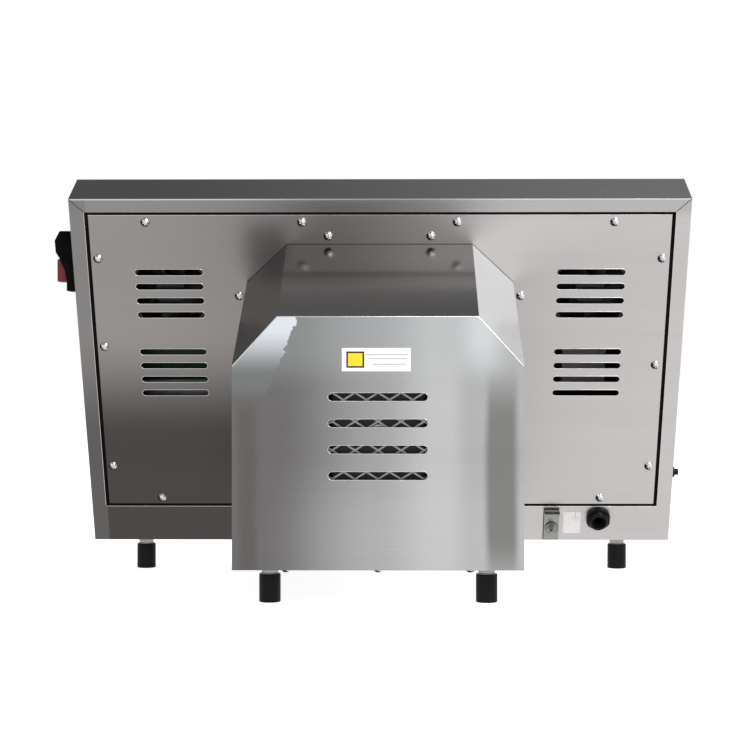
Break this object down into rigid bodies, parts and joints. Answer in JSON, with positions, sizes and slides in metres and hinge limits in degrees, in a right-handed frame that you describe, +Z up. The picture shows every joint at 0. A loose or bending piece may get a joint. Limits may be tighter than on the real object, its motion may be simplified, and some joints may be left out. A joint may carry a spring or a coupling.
{
  "type": "reflow oven",
  "caption": "Bench-top hot-air reflow oven with a leaning stainless casing, a drawer front and a vented rear hood.",
  "frame": {"origin": "on the bench under the middle of the machine", "axes": "+Z up, front towards -Y, +X to the right seen from the front"},
  "size_m": [0.634, 0.3556, 0.3992],
  "materials": {
    "steel_frame": "fine brushed stainless sheet",
    "steel_panel": "fine brushed stainless sheet",
    "steel_hood": "bright brushed stainless sheet",
    "steel_front": "fine brushed stainless sheet",
    "steel_inner": "plain galvanised sheet",
    "liner_steel": "plain heat-toned stainless sheet",
    "mirror_steel": "polished reflector sheet",
    "screw": "bright plated steel",
    "zinc": "bright zinc plate",
    "handle_steel": "polished tube",
    "rack_wire": "bright wire",
    "lamination": "varnished lamination stack",
    "guard_mesh": "grey coated wire mesh",
    "aluminium_case": "plain folded case",
    "ceramic_wool": "ceramic fibre blanket",
    "seal_cord": "woven glass cord",
    "ceramic": "unglazed ceramic",
    "quartz": "quartz heater tube",
    "oven_glass": "tinted heat-proof glass",
    "display_glass": "dark display window",
    "black_plastic": "moulded nylon",
    "switch_black": "moulded black plastic",
    "fan_plastic": "moulded black plastic",
    "relay_plastic": "pale moulded case",
    "key_plastic": "soft-touch keys",
    "knob_black": "ribbed turning knob",
    "red_plastic": "red push button",
    "green_plastic": "green push button",
    "circuit_board": "green solder mask",
    "black_rubber": "moulded rubber",
    "foot_rubber": "moulded rubber",
    "label": "printed film"
  },
  "bodies": {
    "casing": {"body_shell": "steel_frame", "base_plate": "steel_frame", "hood_floor": "steel_frame", "panel_ledge": "steel_inner", "rear_panel": "steel_panel", "rear_hood": "steel_hood", "front_fascia": "steel_front", "panel_screws": "screw", "foot_rubbers": "foot_rubber", "foot_fasteners": "zinc", "gland_body": "black_plastic", "gland_nut": "black_plastic", "gland_seal": "black_rubber", "earth_bracket": "zinc", "earth_fasteners": "zinc", "labels": "label", "switch_housing": "switch_black", "reset_collar": "black_plastic", "cavity_liner": "liner_steel", "insulation": "ceramic_wool", "oven_jacket": "steel_inner", "heater_tubes": "quartz", "heater_caps": "ceramic", "reflector": "mirror_steel", "thermocouple": "screw", "fan_baffle": "liner_steel", "motor_stator": "lamination", "motor_brackets": "steel_inner", "motor_bearings": "screw", "motor_guard": "guard_mesh", "oven_supports": "steel_inner", "fan_frames": "fan_plastic", "power_supply": "aluminium_case", "solid_state_relay": "relay_plastic", "terminal_block": "ceramic", "control_board": "circuit_board", "display_bezel": "black_plastic", "display_screen": "display_glass", "encoder_body": "zinc", "slide_rails": "zinc"},
    "drawer": {"drawer_front": "steel_front", "drawer_glass": "oven_glass", "drawer_seal": "seal_cord", "handle_bar": "handle_steel", "handle_posts": "handle_steel", "drawer_tray": "liner_steel", "slide_bars": "zinc"},
    "rack": {"wire_rack": "rack_wire"},
    "oven_fan": {"impeller": "liner_steel", "motor_shaft": "screw"},
    "cooling_fan_left": {"fan_rotor_left": "fan_plastic"},
    "cooling_fan_right": {"fan_rotor_right": "fan_plastic"},
    "start_button": {"start_button": "green_plastic"},
    "stop_button": {"stop_button": "red_plastic"},
    "reset_button": {"reset_button": "black_plastic"},
    "key_1": {"key_1": "key_plastic"},
    "key_2": {"key_2": "key_plastic"},
    "key_3": {"key_3": "key_plastic"},
    "key_4": {"key_4": "key_plastic"},
    "knob": {"control_knob": "knob_black"}
  },
  "joints": [
    {"name": "drawer_slide", "type": "slide", "parent": "casing", "child": "drawer", "axis": [0, -1, 0], "range_m": [0, 0.14]},
    {"name": "rack_lift", "type": "slide", "parent": "drawer", "child": "rack", "axis": [0, 0, 1], "range_m": [0, 0.02]},
    {"name": "oven_fan_spin", "type": "hinge", "parent": "casing", "child": "oven_fan", "pos_m": [-0.0057, 0.1, 0.1509], "axis": [0, 1, 0], "continuous": true},
    {"name": "cooling_fan_left_spin", "type": "hinge", "parent": "casing", "child": "cooling_fan_left", "pos_m": [0.2018, -0.00935, 0.29101], "axis": [0, 0.9063, -0.4226], "continuous": true},
    {"name": "cooling_fan_right_spin", "type": "hinge", "parent": "casing", "child": "cooling_fan_right", "pos_m": [-0.2132, -0.00935, 0.29101], "axis": [0, 0.9063, -0.4226], "continuous": true},
    {"name": "start_button_press", "type": "slide", "parent": "casing", "child": "start_button", "axis": [-1, 0, 0], "range_m": [0, 0.003], "stiffness_N_per_m": 300},
    {"name": "stop_button_press", "type": "slide", "parent": "casing", "child": "stop_button", "axis": [-1, 0, 0], "range_m": [0, 0.003], "stiffness_N_per_m": 300},
    {"name": "reset_button_press", "type": "slide", "parent": "casing", "child": "reset_button", "axis": [1, 0, 0], "range_m": [0, 0.002], "stiffness_N_per_m": 300},
    {"name": "key_1_press", "type": "slide", "parent": "casing", "child": "key_1", "axis": [0, 0.9063, -0.4226], "range_m": [0, 0.001], "stiffness_N_per_m": 300},
    {"name": "key_2_press", "type": "slide", "parent": "casing", "child": "key_2", "axis": [0, 0.9063, -0.4226], "range_m": [0, 0.001], "stiffness_N_per_m": 300},
    {"name": "key_3_press", "type": "slide", "parent": "casing", "child": "key_3", "axis": [0, 0.9063, -0.4226], "range_m": [0, 0.001], "stiffness_N_per_m": 300},
    {"name": "key_4_press", "type": "slide", "parent": "casing", "child": "key_4", "axis": [0, 0.9063, -0.4226], "range_m": [0, 0.001], "stiffness_N_per_m": 300},
    {"name": "knob_turn", "type": "hinge", "parent": "casing", "child": "knob", "pos_m": [0.2013, -0.09391, 0.23036], "axis": [0, 0.9063, -0.4226], "continuous": true}
  ]
}
